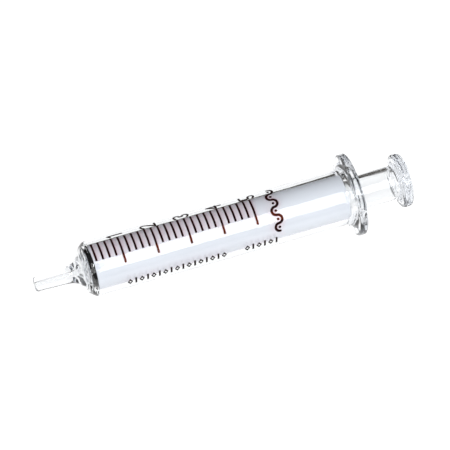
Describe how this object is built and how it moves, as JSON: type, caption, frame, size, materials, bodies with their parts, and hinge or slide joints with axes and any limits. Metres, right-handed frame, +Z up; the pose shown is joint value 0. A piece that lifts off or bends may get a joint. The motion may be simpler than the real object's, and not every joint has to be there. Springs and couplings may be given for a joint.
{
  "type": "glass oral syringe",
  "caption": "Clear all-glass syringe with a slip nozzle, round finger flange, fired red-brown scale and a sliding ground-glass plunger with a black zero ring and thumb knob.",
  "frame": {"origin": "centre of the nozzle's mouth, on the syringe's axis", "axes": "+X along the syringe from the nozzle to the thumb knob, +Z up; the middle of the scale faces 32 degrees from +Z towards -Y"},
  "size_m": [0.1022, 0.022, 0.022],
  "materials": {
    "clear_glass": "fire-polished clear borosilicate glass",
    "ground_glass": "finely ground, frosted",
    "scale_enamel": "fired red-brown enamel, slightly see-through",
    "mark_enamel": "fired dark brown enamel",
    "ring_enamel": "fired black enamel"
  },
  "bodies": {
    "barrel": {"barrel_tube": "clear_glass", "barrel_head": "clear_glass", "luer_nozzle": "clear_glass", "finger_flange": "clear_glass", "minor_lines": "scale_enamel", "major_lines": "scale_enamel", "numeral_1": "scale_enamel", "numeral_2": "scale_enamel", "numeral_3": "scale_enamel", "numeral_4": "scale_enamel", "numeral_5": "scale_enamel", "ornament_band": "scale_enamel", "side_marks_long": "mark_enamel", "side_marks_short": "mark_enamel"},
    "plunger": {"piston_tube": "ground_glass", "piston_nose": "clear_glass", "fiducial_ring": "ring_enamel", "piston_shoulder": "clear_glass", "plunger_stem": "clear_glass", "thumb_knob": "clear_glass"}
  },
  "joints": [
    {"name": "plunger_slide", "type": "slide", "parent": "barrel", "child": "plunger", "axis": [1, 0, 0], "range_m": [0, 0.045]}
  ]
}
